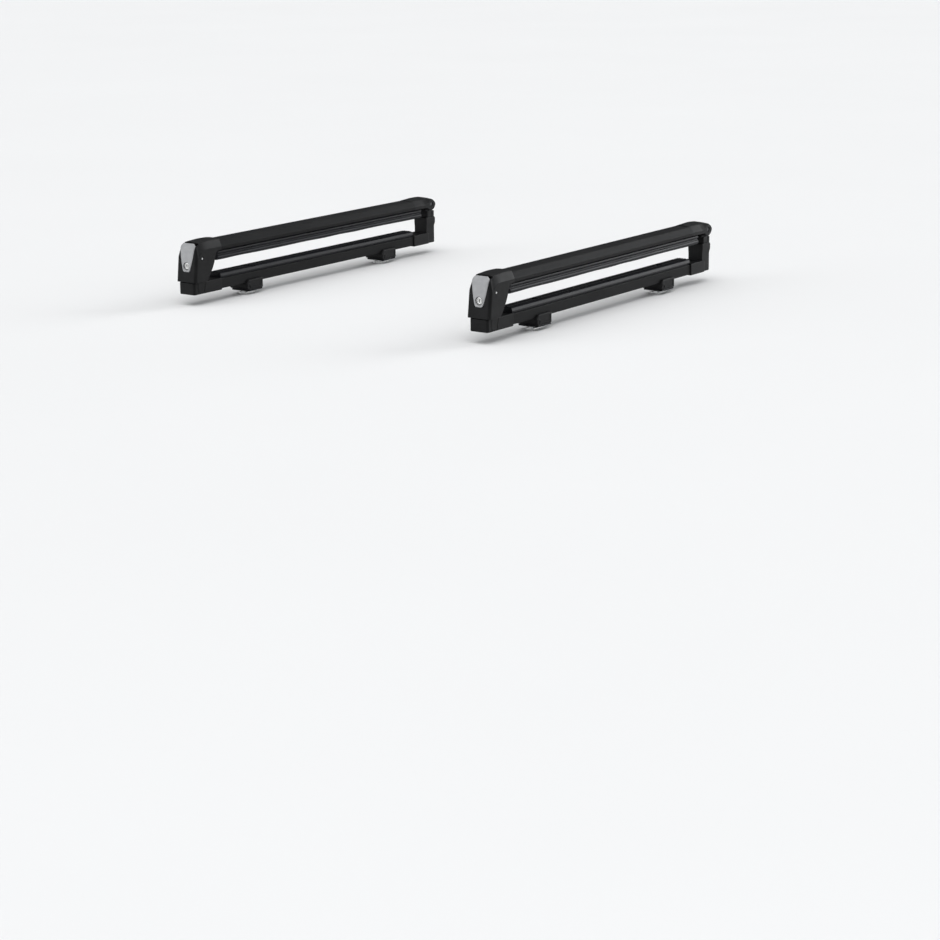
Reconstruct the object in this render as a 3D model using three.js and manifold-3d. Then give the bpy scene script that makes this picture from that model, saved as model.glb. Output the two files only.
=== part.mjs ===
// Roof ski rack: two identical clamping ski carriers, one behind the other on a car roof.
// Millimetres. +X points to the front of the car, +Y runs across the roof from the latch end of each
// carrier to its hinge end, +Z is up. The origin is midway between the carriers, level with the
// underside of the T-nuts, which are the lowest pieces. Inside a carrier, y counts from the face of
// the latch end and x from the carrier's middle plane.
import * as THREE from 'three';
import { mergeVertices } from 'three/addons/utils/BufferGeometryUtils.js';
import Module from 'manifold-3d';

// ---- driving dimensions ----

const carrier = { spacing: 700, length: 796 };
const gap = 0.3;                     // clearance between pieces that touch

// crossbar interface: a T-slot in the bar, its lips between the T-nut and the sole of the foot
const tNut = { halfWidth: 10, length: 30, thickness: 4, neckHalfWidth: 5, neckLength: 20, top: 5.2 };
const sole = 7.5;
const pad = { halfWidth: 22, length: 46, top: 10.2 };
const foot = { halfWidth: 24, length: 50, flangeTop: 31, endSlope: 7, bossRadius: 6.5 };
const feetAt = { near: 178, far: 618 };
const clampScrew = { radius: 3, headRadius: 5, headHeight: 6, socketAcrossFlats: 5, socketDepth: 3.2 };
const screwHole = clampScrew.radius + gap;

// lower arm: a channel open at the top, which holds the lower rubber
const lower = { halfWidth: 17.5, bottom: 24.5, top: 44.5, wall: 2.2, slotHalfWidth: 8, lip: 2 };
lower.start = 34;
lower.end = 757;
lower.screwSlot = { halfWidth: 3.6, length: 46 };

// end pieces of the lower arm
const post = { halfWidth: 20, bottom: 22.5, top: 46.2, start: 2, end: 83, corner: 5 };
const strike = { y: 27, z: 38, radius: 3, end: 16, chamberHalfWidth: 12 };
const tower = { start: 713, sleeveEnd: 762, end: 796, top: 80, halfWidth: 17, flare: 3, flareStart: 60 };

// upper arm: a chamfered tube with a slot underneath, which holds the upper rubber
const upper = { halfWidth: 25, topHalfWidth: 16, bottom: 102.8, shoulder: 109.8, top: 121.5 };
upper.wall = 2;
upper.slotHalfWidth = 10;
upper.start = 81.3;
upper.end = 710.7;

// rubbers: a soft bulb with a T-shaped head that slides in the slot of its profile
const softUpper = { halfWidth: 21, bottom: 82.5, start: 64, end: 748, neckStart: 82, neckEnd: 710 };
const softLower = { halfWidth: 16, top: 56.5, start: 83.6, end: 712.6, screwAccess: 6 };

// hinge end
const hinge = { y: 772, z: 109.5, capRadius: 15.5, headRadius: 12, pinRadius: 4, halfWidth: 25 };
hinge.crown = 125.5;
hinge.slotHalfWidth = 13.8;
const link = { y: 778, halfWidth: 10, headHalfWidth: 13.4, halfDepth: 8, bottom: 34, floor: 44, bore: 6.4 };
link.collar = { start: 765.6, end: 791.4, halfWidth: 17, bottom: 80.4, top: 93.2 };
link.boreTop = 90;
const liftScrew = { radius: 2.5, headRadius: 5.2, headBottom: 80, headTop: 84, bottom: 24 };
const liftSpring = { radius: 4.6, wire: 0.7, turns: 7, bottom: 44.9, top: 79.1 };

// latch end
const shell = { halfWidth: 25, wall: 2.5, bottom: 46.5, crown: 126, seam: 81, lean: 10 };
const pivot = { y: 24, z: 92.7, pinRadius: 2, hubRadius: 6 };
const lock = { z: 78.5, front: 2.6, back: 20, radius: 6.5, keyway: { width: 1.6, height: 6, depth: 4 } };
const cam = { thickness: 2.4, halfWidth: 3.5, reach: 13 };
const button = { topHalfWidth: 18, bottomHalfWidth: 9, bottom: 67.5, top: 122.5, thickness: 4 };
const hook = { halfWidth: 7.6, back: 31, nose: 33, bite: 23.4 };
const latchSpring = { z: 111, radius: 3.4, wire: 0.6, turns: 6, front: 18, back: 41 };

const round = { fine: 32, medium: 20, coarse: 14, wire: 6, perTurn: 10 };
const tiltOfFace = shell.lean / (shell.crown - shell.bottom);   // how far the face leans back, per mm

// ---- materials ----

const finish = (color, roughness, metalness) =>
  new THREE.MeshStandardMaterial({ color, roughness, metalness });
const materials = {
  profile: finish(0x2b2c2e, 0.42, 0.6),
  casing: finish(0x222325, 0.5, 0),
  rubber: finish(0x26272b, 0.6, 0),
  button: finish(0xa9abae, 0.4, 0.1),
  steel: finish(0xb4b6b8, 0.3, 0.9),
  blackSteel: finish(0x303133, 0.45, 0.8),
};

// ---- solid modelling helpers ----

const wasm = await Module();
wasm.setup();

const shapeAxes = {
  x: new THREE.Matrix4().makeBasis(
    new THREE.Vector3(0, 1, 0), new THREE.Vector3(0, 0, 1), new THREE.Vector3(1, 0, 0)),
  y: new THREE.Matrix4().makeBasis(
    new THREE.Vector3(1, 0, 0), new THREE.Vector3(0, 0, 1), new THREE.Vector3(0, -1, 0)),
  z: new THREE.Matrix4(),
};

// a geometry's closed surface as a solid that can be joined and cut
function solidOf(geometry) {
  geometry.deleteAttribute('normal');
  geometry.deleteAttribute('uv');
  const merged = mergeVertices(geometry, 1e-4);
  return new wasm.Manifold(new wasm.Mesh({
    numProp: 3,
    vertProperties: merged.attributes.position.array,
    triVerts: Uint32Array.from(merged.index.array),
  }));
}

// a closed outline swept along one axis: outlines hold (y, z) along x, (x, z) along y, (x, y) along z
function sweep(axis, outline, from, to, segments = round.medium) {
  const shape = Array.isArray(outline)
    ? new THREE.Shape(outline.map(([a, b]) => new THREE.Vector2(a, b)))
    : outline;
  const options = { depth: to - from, bevelEnabled: false, curveSegments: segments };
  const geometry = new THREE.ExtrudeGeometry(shape, options);
  geometry.applyMatrix4(shapeAxes[axis]);
  const shift = { x: [from, 0, 0], y: [0, to, 0], z: [0, 0, from] }[axis];
  return solidOf(geometry.translate(...shift));
}

function box(x0, x1, y0, y1, z0, z1) {
  return sweep('z', [[x0, y0], [x1, y0], [x1, y1], [x0, y1]], z0, z1);
}

function rod(axis, radius, a, b, from, to, segments = round.medium) {
  const circle = new THREE.Shape().absarc(a, b, radius, 0, 2 * Math.PI);
  return sweep(axis, circle, from, to, segments / 2);
}

// a hexagonal prism along z, for a socket
function hexagon(acrossFlats, x, y, from, to) {
  const radius = acrossFlats / Math.sqrt(3);
  const corners = Array.from({ length: 6 }, (_, i) => {
    const angle = i * Math.PI / 3;
    return [x + radius * Math.cos(angle), y + radius * Math.sin(angle)];
  });
  return sweep('z', corners, from, to);
}

// the outline of a symmetric section, from its right half listed from the bottom up
function symmetric(half) {
  return [...half, ...half.map(([x, z]) => [-x, z]).reverse()];
}

// a slot along y with round ends, cut through from z0 to z1
function slotAlongY(halfWidth, y0, y1, z0, z1) {
  return box(-halfWidth, halfWidth, y0, y1, z0, z1)
    .add(rod('z', halfWidth, 0, y0, z0, z1, round.coarse))
    .add(rod('z', halfWidth, 0, y1, z0, z1, round.coarse));
}

class Helix extends THREE.Curve {
  constructor(radius, turns, length) {
    super();
    Object.assign(this, { radius, turns, length });
  }

  getPoint(t, target = new THREE.Vector3()) {
    const angle = 2 * Math.PI * this.turns * t;
    return target.set(this.radius * Math.cos(angle), this.radius * Math.sin(angle), this.length * t);
  }
}

// a coil spring standing on z = 0
function coil({ radius, wire, turns }, length) {
  const section = new THREE.Shape().absarc(0, 0, wire, 0, 2 * Math.PI);
  return new THREE.ExtrudeGeometry(section, {
    steps: turns * round.perTurn,
    curveSegments: round.wire / 2,
    bevelEnabled: false,
    extrudePath: new Helix(radius, turns, length),
  });
}

function geometryOf(solid) {
  const mesh = solid.getMesh();
  const geometry = new THREE.BufferGeometry();
  geometry.setAttribute('position', new THREE.BufferAttribute(mesh.vertProperties, 3));
  geometry.setIndex(new THREE.BufferAttribute(mesh.triVerts, 1));
  geometry.computeVertexNormals();
  return geometry;
}

// y of the latch end's leaning face at a height
const faceAt = (z) => (z - shell.bottom) * tiltOfFace;

// ---- lower arm ----

function lowerProfile() {
  const { halfWidth, bottom, top, wall, slotHalfWidth, lip, screwSlot, start, end } = lower;
  const room = halfWidth - wall;
  let channel = box(-halfWidth, halfWidth, start, end, bottom, top)
    .subtract(box(-room, room, start - 1, end + 1, bottom + wall, top - lip))
    .subtract(box(-slotHalfWidth, slotHalfWidth, start - 1, end + 1, top - lip - 1, top + 1));
  for (const y of Object.values(feetAt)) {
    const reach = screwSlot.length / 2 - screwSlot.halfWidth;
    const through = [bottom - 1, bottom + wall + 1];
    channel = channel.subtract(slotAlongY(screwSlot.halfWidth, y - reach, y + reach, ...through));
  }
  return channel;
}

function lowerRubber() {
  const { halfWidth, top, start, end, screwAccess } = softLower;
  const neck = lower.slotHalfWidth - gap;
  const head = lower.halfWidth - lower.wall - 4;
  const seat = lower.top + gap;
  const underLip = lower.top - lower.lip - gap;
  const section = symmetric([
    [head, underLip - 2.6], [head, underLip], [neck, underLip], [neck, seat], [halfWidth, seat],
    [halfWidth + 0.8, seat + 4], [halfWidth - 1.2, top - 2.4], [halfWidth - 6, top],
  ]);
  let strip = sweep('y', section, start, end);
  for (const y of Object.values(feetAt)) {
    strip = strip.subtract(rod('z', screwAccess, 0, y, lower.bottom, top + 1));
  }
  return strip;
}

// the plan of an end piece, its two corners at the outer end cut off
function endPlan(halfWidth, outer, inner, corner) {
  const inward = Math.sign(inner - outer) * corner;
  return [
    [-halfWidth, inner], [-halfWidth, outer + inward], [-halfWidth + corner, outer],
    [halfWidth - corner, outer], [halfWidth, outer + inward], [halfWidth, inner],
  ];
}

// near end of the lower arm: a cap with a chamber for the hook, and a sleeve over the profile;
// the striker bar goes in from the rear side
function latchPost() {
  const { halfWidth, bottom, top, start, end, corner } = post;
  const side = lower.halfWidth + gap;
  const chamberBack = lower.start - 2;
  return sweep('z', endPlan(halfWidth, start, end, corner), bottom, top)
    .subtract(box(-side, side, lower.start - gap, end + 1, lower.bottom - gap, lower.top + gap))
    .subtract(box(-strike.chamberHalfWidth, strike.chamberHalfWidth, start + 3, chamberBack,
      bottom + 3.5, top + 1))
    .subtract(rod('x', strike.radius + gap, strike.y, strike.z, -halfWidth - 1, strike.end + gap));
}

function strikerBar() {
  return rod('x', strike.radius, strike.y, strike.z, -post.halfWidth + 0.5, strike.end);
}

// far end of the lower arm: a sleeve over the profile, and a column that guides the lift link
function hingeTower() {
  const { start, sleeveEnd, end, top, halfWidth, flare, flareStart } = tower;
  const side = lower.halfWidth + gap;
  const guideX = link.halfWidth + gap;
  const sleeve = box(-post.halfWidth, post.halfWidth, start, sleeveEnd + 4, post.bottom, post.top);
  const column = sweep('x', [
    [sleeveEnd - 6, post.bottom], [end - flare, post.bottom], [end - flare, flareStart],
    [end, flareStart + 8], [end, top - 3], [end - 3, top], [sleeveEnd, top], [sleeveEnd, flareStart],
    [sleeveEnd - 6, post.top - 1],
  ], -halfWidth, halfWidth);
  const guide = box(-guideX, guideX, link.y - link.halfDepth - gap, link.y + link.halfDepth + gap,
    post.bottom + 5.5, top + 1);
  return sleeve.add(column)
    .subtract(box(-side, side, start - 1, lower.end + gap, lower.bottom - gap, lower.top + gap))
    .subtract(guide)
    .subtract(rod('z', liftScrew.radius + gap, 0, link.y, post.bottom + 1, post.bottom + 6));
}

// ---- fixing to the crossbar ----

function footBlock(y) {
  const near = y - foot.length / 2;
  const far = y + foot.length / 2;
  const seat = lower.bottom - gap;
  const inner = lower.halfWidth + gap;
  const side = [
    [near + foot.endSlope, pad.top + gap], [far, pad.top + gap], [far, foot.flangeTop],
    [near + foot.endSlope, foot.flangeTop], [near, foot.flangeTop - 8], [near, pad.top + 6],
  ];
  const bossAt = [near + foot.bossRadius + 0.5, pad.top + gap + foot.bossRadius];
  return sweep('x', side, -foot.halfWidth + 1.5, foot.halfWidth - 1.5)
    .add(rod('x', foot.bossRadius, ...bossAt, -foot.halfWidth, foot.halfWidth))
    .subtract(box(-inner, inner, near - 2, far + 1, seat, foot.flangeTop + 1))
    .subtract(rod('z', screwHole, 0, y, pad.top, seat + 1));
}

function footPad(y) {
  const half = pad.length / 2;
  return box(-pad.halfWidth, pad.halfWidth, y + 2 - half, y + 2 + half, sole, pad.top)
    .subtract(rod('z', screwHole, 0, y, sole - 1, pad.top + 1));
}

function clampScrewAt(y) {
  const { radius, headRadius, headHeight, socketAcrossFlats, socketDepth } = clampScrew;
  const seat = lower.bottom + lower.wall + gap;
  return rod('z', radius, 0, y, 1, seat + 1)
    .add(rod('z', headRadius, 0, y, seat, seat + headHeight))
    .subtract(hexagon(socketAcrossFlats, 0, y, seat + headHeight - socketDepth, seat + headHeight + 1));
}

function tNutAt(y) {
  const { halfWidth, length, thickness, neckHalfWidth, neckLength, top } = tNut;
  return box(-halfWidth, halfWidth, y - length / 2, y + length / 2, 0, thickness)
    .add(box(-neckHalfWidth, neckHalfWidth, y - neckLength / 2, y + neckLength / 2, 1, top))
    .subtract(rod('z', screwHole, 0, y, -1, top + 1));
}

// ---- lift at the hinge end ----

// the link that carries the arm: a hollow post in the tower, a collar that rests on the tower, and
// a round head for the hinge pin
function liftLink() {
  const { y, halfWidth, headHalfWidth, halfDepth, bottom, floor, bore, boreTop, collar } = link;
  return box(-halfWidth, halfWidth, y - halfDepth, y + halfDepth, bottom, collar.bottom + 1)
    .add(box(-collar.halfWidth, collar.halfWidth, collar.start, collar.end, collar.bottom, collar.top))
    .add(box(-headHalfWidth, headHalfWidth, hinge.y - halfDepth, hinge.y + halfDepth,
      collar.top - 1, hinge.z))
    .add(rod('x', hinge.headRadius, hinge.y, hinge.z, -headHalfWidth, headHalfWidth, round.fine))
    .subtract(rod('x', hinge.pinRadius + gap, hinge.y, hinge.z, -headHalfWidth - 1, headHalfWidth + 1))
    .subtract(rod('z', bore, 0, y, floor, boreTop))
    .subtract(rod('z', liftScrew.radius + gap, 0, y, bottom - 1, floor + 1, round.coarse));
}

function liftScrewSolid() {
  const { radius, headRadius, headBottom, headTop, bottom } = liftScrew;
  return rod('z', radius, 0, link.y, bottom, headBottom + 1, round.coarse)
    .add(rod('z', headRadius, 0, link.y, headBottom, headTop));
}

function hingePin() {
  return rod('x', hinge.pinRadius, hinge.y, hinge.z, -hinge.halfWidth + 0.4, hinge.halfWidth - 0.4);
}

// ---- upper arm ----

function upperSection(inset) {
  const { halfWidth, topHalfWidth, bottom, shoulder, top } = upper;
  const corner = inset * Math.tan(Math.PI / 8);
  return [
    [halfWidth - inset, bottom + inset], [halfWidth - inset, shoulder - corner],
    [topHalfWidth - corner, top - inset],
  ];
}

function upperProfile() {
  const { bottom, wall, slotHalfWidth, start, end } = upper;
  return sweep('y', symmetric(upperSection(0)), start, end)
    .subtract(sweep('y', symmetric(upperSection(wall)), start - 1, end + 1))
    .subtract(box(-slotHalfWidth, slotHalfWidth, start - 1, end + 1, bottom - 1, bottom + wall + 0.5));
}

function upperRubber() {
  const { halfWidth, bottom, start, end, neckStart, neckEnd } = softUpper;
  const seat = upper.bottom - gap;
  const overLip = upper.bottom + upper.wall + gap;
  const neck = upper.slotHalfWidth - gap;
  const bulb = symmetric([
    [halfWidth - 4, bottom], [halfWidth - 0.8, bottom + 3.2], [halfWidth, bottom + 8],
    [halfWidth - 0.5, seat - 5], [halfWidth - 3, seat],
  ]);
  const hollow = symmetric([[10, bottom + 6], [14, bottom + 10], [10, bottom + 14]]);
  const head = symmetric([
    [neck, seat - 1], [neck, overLip], [neck + 3.3, overLip], [neck + 3.3, overLip + 3],
  ]);
  return sweep('y', bulb, start, end)
    .add(sweep('y', head, neckStart, neckEnd))
    .subtract(sweep('y', hollow, start - 1, end + 1));
}

// the tongue of an end cap, plugged into the upper profile above the head of the rubber
function tongue(y0, y1) {
  const inside = upperSection(upper.wall + gap);
  const floor = upper.bottom + upper.wall + 2 * gap + 3.3;
  return sweep('y', symmetric([[inside[0][0], floor], ...inside.slice(1)]), y0, y1);
}

// far end cap of the upper arm, with a cheek on each side of the lift link's head
function hingeCap() {
  const { y, z, capRadius, halfWidth, crown, slotHalfWidth, headRadius, pinRadius } = hinge;
  const seam = upper.end + gap;
  const side = new THREE.Shape();
  side.moveTo(seam, upper.bottom);
  side.lineTo(y - 14, upper.bottom);
  side.lineTo(y - 8, z - capRadius + 2);
  side.absarc(y, z, capRadius, -2.1, Math.PI * 0.48, false);
  side.quadraticCurveTo(y - 30, crown + 1.2, seam, upper.top + 1.5);
  const ceiling = z + headRadius + 0.8;
  const section = symmetric([
    [halfWidth, z - 20], [halfWidth, upper.shoulder + 1], [upper.topHalfWidth, crown - 1],
    [upper.topHalfWidth - 9, crown + 1],
  ]);
  const slot = sweep('x', [
    [y - headRadius - 0.8, z - 20], [y + capRadius + 1, z - 20], [y + capRadius + 1, z + 11],
    [y + 6, ceiling], [y - 6, ceiling], [y - headRadius - 0.8, z + 5],
  ], -slotHalfWidth, slotHalfWidth);
  return sweep('x', side, -halfWidth, halfWidth, round.coarse)
    .intersect(sweep('y', section, seam - 1, y + capRadius + 1))
    .add(tongue(seam - 30, seam + 1))
    .subtract(slot)
    .subtract(rod('x', pinRadius + gap, y, z, -halfWidth - 1, halfWidth + 1));
}

// ---- latch end ----

// near end cap of the upper arm: a shell with a window for the button, open below, and behind
// where the rubber's end goes in
function latchHousing() {
  const { halfWidth, wall, bottom, crown, seam } = shell;
  const outer = [
    [0, bottom], [36, bottom], [57.7, 82], [59.7, 92], [62.5, 98.5], [67, 101.8],
    [seam, upper.bottom], [seam, crown - 0.5],
    [60, crown], [32, crown - 1.2], [14, crown - 3.5], [faceAt(118), 118],
  ];
  const inner = [
    [wall, bottom - 1], [33, bottom - 1], [55.6, 82], [90, 82], [90, upper.bottom + 0.4],
    [66, upper.bottom + 0.4],
    [66, crown - 3.4], [32, crown - 3.8], [17, crown - 5.6], [faceAt(115) + wall, 115],
  ];
  const section = symmetric([
    [halfWidth, bottom - 1], [halfWidth, upper.shoulder], [upper.topHalfWidth + 1, upper.top + 1],
    [upper.topHalfWidth - 8, crown + 0.5],
  ]);
  const roomSection = symmetric([
    [halfWidth - wall, bottom - 2], [halfWidth - wall, upper.shoulder - 1],
    [upper.topHalfWidth - 1, crown],
  ]);
  const plan = endPlan(halfWidth, 0, seam, 4);
  const room = sweep('x', inner, -halfWidth, halfWidth).intersect(sweep('y', roomSection, 0, 91));
  const window = sweep('y', buttonOutline(0.9), -1, 19.8);
  const springWall = box(-halfWidth + wall - 0.5, halfWidth - wall + 0.5, 42, 44.5, 104, crown - 3);
  return sweep('x', outer, -halfWidth, halfWidth)
    .intersect(sweep('y', section, -1, seam + 1))
    .intersect(sweep('z', plan, bottom - 1, crown + 1))
    .subtract(room)
    .add(springWall.intersect(sweep('y', section, 0, seam)))
    .add(tongue(seam - 1, seam + 30))
    .subtract(window)
    .subtract(rod('x', pivot.pinRadius + gap, pivot.y, pivot.z, -halfWidth - 1, halfWidth + 1,
      round.coarse));
}

// the front outline of the button as (x, z): wide at the top, narrowing to a rounded foot
function buttonOutline(grow) {
  const { topHalfWidth, bottomHalfWidth, bottom, top } = button;
  const openTop = grow > 0 ? 6 : 0;
  return symmetric([
    [bottomHalfWidth - 4 + grow, bottom - grow], [bottomHalfWidth + grow, bottom + 4 - grow],
    [topHalfWidth - 1 + grow, top - 16], [topHalfWidth + grow, top - 6 + openTop],
    [topHalfWidth - 5 + grow, top + openTop],
  ]);
}

// the button: a leaning plate, a barrel around the lock and two ears that turn on the latch pin
function latchButton() {
  const { bottom, top, thickness } = button;
  const leaningPlate = [
    [faceAt(bottom) - 0.6, bottom], [faceAt(bottom) + thickness, bottom],
    [faceAt(top) + thickness, top], [faceAt(top) - 0.6, top],
  ];
  const ear = new THREE.Shape();
  ear.moveTo(faceAt(84) + 2, 84);
  ear.absarc(pivot.y, pivot.z, pivot.hubRadius - 1, -Math.PI / 2, Math.PI / 2, false);
  ear.lineTo(faceAt(104) + 2, 104);
  const earInner = hook.halfWidth + gap + 0.4;
  const plate = sweep('x', leaningPlate, -20, 20).intersect(sweep('y', buttonOutline(0), -2, 40));
  return plate
    .add(sweep('x', ear, earInner, earInner + 3))
    .add(sweep('x', ear, -earInner - 3, -earInner))
    .add(rod('y', lock.radius + 2.2, 0, lock.z, faceAt(lock.z) + 2, lock.back - 0.5))
    .subtract(rod('y', lock.radius + gap, 0, lock.z, -3, 40))
    .subtract(rod('x', pivot.pinRadius + gap, pivot.y, pivot.z, -30, 30, round.coarse));
}

// the steel lever behind the button: hub on the latch pin, hook at the bottom
function latchHook() {
  const { halfWidth, back, nose, bite } = hook;
  const limb = [
    [pivot.y + 1, pivot.z - 4], [back - 6, lock.z + 6], [back - 6, 58], [14.6, 46], [14.6, nose],
    [bite, nose], [bite, nose + 2], [20.6, nose + 4], [20.6, 44], [back, 56], [back, pivot.z],
  ];
  const behindPlate = (z) => faceAt(z) + button.thickness + gap;
  const seatOfSpring = latchSpring.front - latchSpring.wire - gap;
  const upperArm = [
    [behindPlate(104), 104], [pivot.y - 4, pivot.z + 2], [pivot.y + 4, pivot.z + 4],
    [seatOfSpring, 105], [seatOfSpring, 117], [behindPlate(117), 117],
  ];
  return rod('x', pivot.hubRadius, pivot.y, pivot.z, -halfWidth, halfWidth, round.medium)
    .add(sweep('x', limb, -halfWidth, halfWidth))
    .add(sweep('x', upperArm, -halfWidth, halfWidth))
    .subtract(rod('x', pivot.pinRadius + gap, pivot.y, pivot.z, -20, 20, round.coarse));
}

function latchPin() {
  const reach = shell.halfWidth - 0.4;
  return rod('x', pivot.pinRadius, pivot.y, pivot.z, -reach, reach, round.coarse);
}

function lockCylinder() {
  const { z, front, back, radius, keyway } = lock;
  return rod('y', radius, 0, z, front, back - gap)
    .subtract(box(-keyway.width / 2, keyway.width / 2, front - 1, front + keyway.depth,
      z - keyway.height / 2, z + keyway.height / 2));
}

// the cam behind the lock cylinder, pointing down when the lock is open
function lockCam() {
  const y = lock.back;
  return rod('y', cam.halfWidth + 1, 0, lock.z, y, y + cam.thickness, round.coarse)
    .add(box(-cam.halfWidth, cam.halfWidth, y, y + cam.thickness, lock.z - cam.reach, lock.z));
}

// ---- assembly ----

function group(...children) {
  return new THREE.Group().add(...children);
}

function buildCarrier(prefix, x) {
  const named = (name, geometry, material) => {
    const mesh = new THREE.Mesh(geometry, material);
    mesh.name = `${prefix}_${name}`;
    return mesh;
  };
  const piece = (name, solid, material) => named(name, geometryOf(solid), material);

  const base = group(
    piece('lower_profile', lowerProfile(), materials.profile),
    piece('lower_rubber', lowerRubber(), materials.rubber),
    piece('latch_post', latchPost(), materials.casing),
    piece('striker_bar', strikerBar(), materials.steel),
    piece('hinge_tower', hingeTower(), materials.casing),
    piece('lift_screw', liftScrewSolid(), materials.steel),
  );
  for (const [place, y] of Object.entries(feetAt)) {
    base.add(
      piece(`foot_${place}`, footBlock(y), materials.casing),
      piece(`foot_pad_${place}`, footPad(y), materials.rubber),
      piece(`clamp_screw_${place}`, clampScrewAt(y), materials.steel),
      piece(`t_nut_${place}`, tNutAt(y), materials.steel),
    );
  }

  const spring = named('lift_spring',
    coil(liftSpring, liftSpring.top - liftSpring.bottom), materials.steel);
  spring.position.set(0, link.y, liftSpring.bottom);
  const lift = group(
    piece('lift_link', liftLink(), materials.casing),
    piece('hinge_pin', hingePin(), materials.steel),
    spring,
  );

  const arm = group(
    piece('upper_profile', upperProfile(), materials.profile),
    piece('upper_rubber', upperRubber(), materials.rubber),
    piece('hinge_cap', hingeCap(), materials.casing),
    piece('latch_housing', latchHousing(), materials.casing),
    piece('latch_pin', latchPin(), materials.steel),
  );

  const returnSpring = named('latch_spring',
    coil(latchSpring, latchSpring.back - latchSpring.front), materials.steel);
  returnSpring.rotation.x = -Math.PI / 2;
  returnSpring.position.set(0, latchSpring.front, latchSpring.z);
  const latch = group(
    piece('latch_button', latchButton(), materials.button),
    piece('latch_hook', latchHook(), materials.blackSteel),
    returnSpring,
    group(
      piece('lock_cylinder', lockCylinder(), materials.steel),
      piece('lock_cam', lockCam(), materials.blackSteel),
    ),
  );

  const whole = group(base, lift, arm, latch);
  whole.position.set(x, -carrier.length / 2, 0);
  return whole;
}

const skiRack = group(
  buildCarrier('front', carrier.spacing / 2),
  buildCarrier('rear', -carrier.spacing / 2),
);

export default skiRack;
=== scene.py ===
"""Roof ski rack: two clamping ski carriers for a car roof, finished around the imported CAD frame.

Both carriers are alike, so each piece is shaped once, in millimetres inside a carrier: x counts from
the carrier's middle plane, y from the face of its latch end, z from the ground. It is then placed on
the front and on the rear carrier. Outlines along x hold (y, z), along y (x, z) and along z (x, y).
"""

import functools
import math

import bmesh
import bpy
from mathutils import Matrix, Vector


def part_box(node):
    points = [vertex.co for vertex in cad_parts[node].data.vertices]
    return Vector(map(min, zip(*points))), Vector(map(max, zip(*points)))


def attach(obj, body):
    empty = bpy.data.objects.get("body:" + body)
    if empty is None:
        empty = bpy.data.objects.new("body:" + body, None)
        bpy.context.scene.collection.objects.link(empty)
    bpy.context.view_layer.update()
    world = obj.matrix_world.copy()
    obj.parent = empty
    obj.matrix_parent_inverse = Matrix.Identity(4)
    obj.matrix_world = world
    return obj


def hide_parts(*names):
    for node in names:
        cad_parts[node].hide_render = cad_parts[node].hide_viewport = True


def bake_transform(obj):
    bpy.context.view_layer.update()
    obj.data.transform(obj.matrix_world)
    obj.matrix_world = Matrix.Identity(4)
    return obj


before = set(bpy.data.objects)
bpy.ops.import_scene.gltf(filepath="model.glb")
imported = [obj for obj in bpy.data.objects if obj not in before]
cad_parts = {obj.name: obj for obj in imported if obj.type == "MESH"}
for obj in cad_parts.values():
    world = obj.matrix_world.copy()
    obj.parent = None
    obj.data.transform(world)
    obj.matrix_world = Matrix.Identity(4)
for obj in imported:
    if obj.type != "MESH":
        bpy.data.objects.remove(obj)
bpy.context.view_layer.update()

MM = 0.001
CARRIERS = ("front", "rear")
PLACES = ("near", "far")  # of the two feet under each carrier

GAP = 0.3                 # between pieces that fit together
WALL = 2.0                # of the extrusions
SHOULDER = 109.8          # height where the upper arm's sides turn into its slanting top edges
TOP_HALF_WIDTH = 16.0     # half the width of the upper arm's flat top
FACE_LEAN = 10.0          # how far the latch end's face leans back over its height

LINK_HALF_X, LINK_HALF_Y = 10.0, 8.0      # half the lift link's post, across and along the arm
SPRING_FLOOR = 44.0       # height of the floor inside the lift link that its spring stands on

# radii of the bores for the pins and screws
CLAMP_BORE = 3.3
LIFT_BORE = 2.8
HINGE_BORE = 4.3
LATCH_BORE = 2.3


@functools.cache
def carrier_origin(prefix):
    low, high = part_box(f"{prefix}_upper_profile")
    return Vector(((low.x + high.x) / 2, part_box(f"{prefix}_latch_housing")[0].y, 0))


@functools.cache
def span(node):
    """A CAD node's lowest and highest corner inside its carrier, in millimetres."""
    origin = carrier_origin("front")
    return [(corner - origin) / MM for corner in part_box(f"front_{node}")]


def middle(node):
    """The middle of a CAD node inside its carrier."""
    low, high = span(node)
    return (low + high) / 2


# ---- shaping ----

def at(axis, a, b, along):
    return {"x": (along, a, b), "y": (a, along, b), "z": (a, b, along)}[axis]


def both_sides(half):
    """A symmetric outline from its right half, listed from the bottom up."""
    return [*half, *((-a, *rest) for a, *rest in reversed(half) if a)]


def left_and_right(shape, inner, outer):
    """A shape made by shape(low, high) on both sides of the carrier's middle plane."""
    return [shape(-outer, -inner), shape(inner, outer)]


def rounded(corners, steps=5):
    """An outline from corners (a, b) or (a, b, radius); a corner with a radius becomes an arc."""
    points = []
    for i, (a, b, *radius) in enumerate(corners):
        here = Vector((a, b))
        if not radius:
            points.append(here)
            continue
        before = (Vector(corners[i - 1][:2]) - here).normalized()
        after = (Vector(corners[(i + 1) % len(corners)][:2]) - here).normalized()
        half = before.angle(after) / 2
        centre = here + (before + after).normalized() * (radius[0] / math.sin(half))
        start = here + before * (radius[0] / math.tan(half)) - centre
        turn = (math.pi - 2 * half) * (1 if before.cross(after) < 0 else -1)
        for step in range(steps + 1):
            points.append(centre + Matrix.Rotation(turn * step / steps, 2) @ start)
    return points


def circle(a, b, radius, sides=32):
    angles = [2 * math.pi * i / sides for i in range(sides)]
    return [Vector((a + radius * math.cos(t), b + radius * math.sin(t))) for t in angles]


def rectangle(a0, a1, b0, b1, radius=None):
    corners = [(a0, b0), (a1, b0), (a1, b1), (a0, b1)]
    return rounded([(*corner, radius) for corner in corners] if radius else corners)


def evenly(first, last, steps):
    return [first + (last - first) * i / steps for i in range(steps + 1)]


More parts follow.
